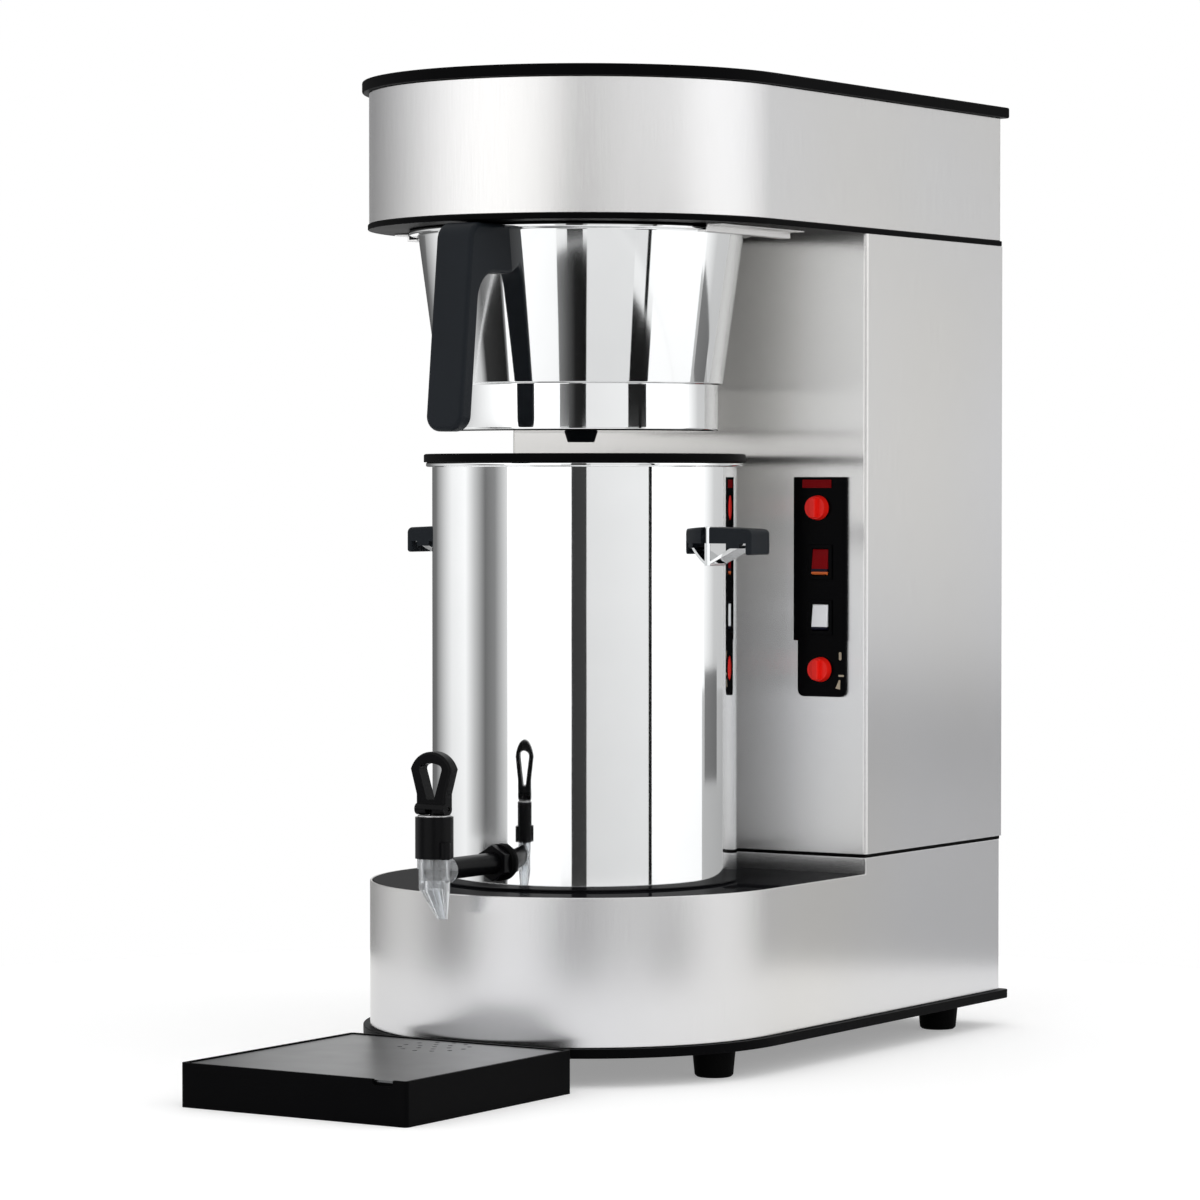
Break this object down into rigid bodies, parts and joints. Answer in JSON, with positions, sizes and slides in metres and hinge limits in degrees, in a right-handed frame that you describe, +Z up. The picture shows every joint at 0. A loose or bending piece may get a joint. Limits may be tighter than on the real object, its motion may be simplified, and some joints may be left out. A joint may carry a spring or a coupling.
{
  "type": "coffee urn",
  "caption": "Bulk filter-coffee brewer: a steel column with an overhanging head, a slide-out filter basket, and a removable round urn with a lever tap over a drip tray.",
  "frame": {"origin": "on the counter, on the vertical axis of the urn, which is also the middle of the whole thing's footprint", "axes": "+Z up, -Y the front with the tap and the drip tray, +X the user's right with the control panel"},
  "size_m": [0.32, 0.714, 0.704],
  "materials": {
    "satin_steel": "satin, fine vertical grain",
    "mirror_steel": "mirror polished stainless steel",
    "plain_steel": "plain",
    "black_housing": "semi-matt black moulding",
    "deck_enamel": "glossy black enamel",
    "black_grip": "fine matt black moulding",
    "black_tap": "glossy black moulding",
    "black_panel": "glossy black panel",
    "black_rubber": "matt",
    "clear_plastic": "clear, slightly smoky",
    "red_plastic": "glossy red",
    "dark_red_plastic": "translucent dark red",
    "white_plastic": "glossy white",
    "inner_plastic": "plain",
    "brass": "machined",
    "foam": "rigid insulating foam"
  },
  "bodies": {
    "brewer": {"base_pan": "black_housing", "rubber_feet": "black_rubber", "foot_screws": "plain_steel", "base_shell": "satin_steel", "column_riser": "satin_steel", "deck_plate": "deck_enamel", "seam_gasket": "black_rubber", "column_shell": "satin_steel", "back_panel": "satin_steel", "back_panel_screws": "plain_steel", "side_frames": "plain_steel", "tank_shelf": "plain_steel", "boiler_tank": "plain_steel", "tank_lid": "plain_steel", "heating_element": "plain_steel", "water_inlet": "brass", "inlet_valve": "brass", "fill_pipe": "plain_steel", "cable_gland": "black_grip", "spray_pipe": "plain_steel", "spray_head": "plain_steel", "head_underplate": "black_housing", "head_shell": "satin_steel", "top_lid": "black_housing", "basket_rails": "satin_steel", "panel_plate": "black_panel", "indicator_lens": "dark_red_plastic", "timer_unit": "inner_plastic", "thermostat_unit": "inner_plastic", "switch_frames": "black_grip"},
    "timer_knob": {"timer_knob": "red_plastic"},
    "thermostat_knob": {"thermostat_knob": "red_plastic"},
    "power_rocker": {"power_rocker": "dark_red_plastic"},
    "warmer_rocker": {"warmer_rocker": "white_plastic"},
    "basket": {"basket_shell": "mirror_steel", "basket_nozzle": "black_grip", "basket_screen": "mirror_steel", "basket_handle": "black_grip"},
    "urn": {"urn_shell": "mirror_steel", "urn_liner": "plain_steel", "urn_insulation": "foam", "urn_rim": "mirror_steel", "handle_bracket_left": "mirror_steel", "handle_bracket_right": "mirror_steel", "handle_grip_left": "black_grip", "handle_grip_right": "black_grip", "tap_shank": "black_tap", "tap_nuts": "black_tap", "tap_seals": "black_rubber", "tap_body": "clear_plastic", "tap_bonnet": "black_tap", "bonnet_ring": "plain_steel"},
    "urn_lid": {"urn_lid": "black_housing"},
    "tap_stem": {"tap_stem": "black_tap", "seat_cup": "black_rubber", "tap_spring": "plain_steel"},
    "tap_lever": {"tap_lever": "black_tap", "lever_pin": "plain_steel"},
    "tray": {"tray_pan": "black_housing"},
    "tray_plate": {"tray_plate": "satin_steel"}
  },
  "joints": [
    {"name": "basket_slide", "type": "slide", "parent": "brewer", "child": "basket", "axis": [0, -1, 0], "range_m": [0, 0.22]},
    {"name": "urn_slide", "type": "slide", "parent": "brewer", "child": "urn", "axis": [0, -1, 0], "range_m": [0, 0.3]},
    {"name": "urn_lid_turn", "type": "hinge", "parent": "urn", "child": "urn_lid", "pos_m": [0, 0, 0.4375], "axis": [0, 0, 1], "continuous": true},
    {"name": "tap_stem_lift", "type": "slide", "parent": "urn", "child": "tap_stem", "axis": [0, 0, 1], "range_m": [0, 0.00209], "stiffness_N_per_m": 1200, "springref_m": -0.006, "deforming": ["tap_spring"]},
    {"name": "tap_lever_pull", "type": "hinge", "parent": "tap_stem", "child": "tap_lever", "pos_m": [0, -0.1915, 0.193], "axis": [1, 0, 0], "range_deg": [0, 40]},
    {"name": "timer_turn", "type": "hinge", "parent": "brewer", "child": "timer_knob", "pos_m": [0.1159, 0.13, 0.3985], "axis": [0, -1, 0], "range_deg": [0, 270]},
    {"name": "thermostat_turn", "type": "hinge", "parent": "brewer", "child": "thermostat_knob", "pos_m": [0.1183, 0.13, 0.28], "axis": [0, -1, 0], "range_deg": [0, 270]},
    {"name": "power_switch_rock", "type": "hinge", "parent": "brewer", "child": "power_rocker", "pos_m": [0.1183, 0.137, 0.3587], "axis": [1, 0, 0], "range_deg": [0, 16]},
    {"name": "warmer_switch_rock", "type": "hinge", "parent": "brewer", "child": "warmer_rocker", "pos_m": [0.1183, 0.137, 0.3182], "axis": [1, 0, 0], "range_deg": [0, 16]},
    {"name": "tray_slide", "type": "slide", "parent": "brewer", "child": "tray", "axis": [0, -1, 0], "range_m": [0, 0.15]},
    {"name": "tray_plate_lift", "type": "slide", "parent": "tray", "child": "tray_plate", "axis": [0, 0, 1], "range_m": [0, 0.06]}
  ],
  "couplings": [
    {"joint": "tap_lever_pull", "follows": "tap_stem_lift", "rad_per_m": 333.33}
  ]
}
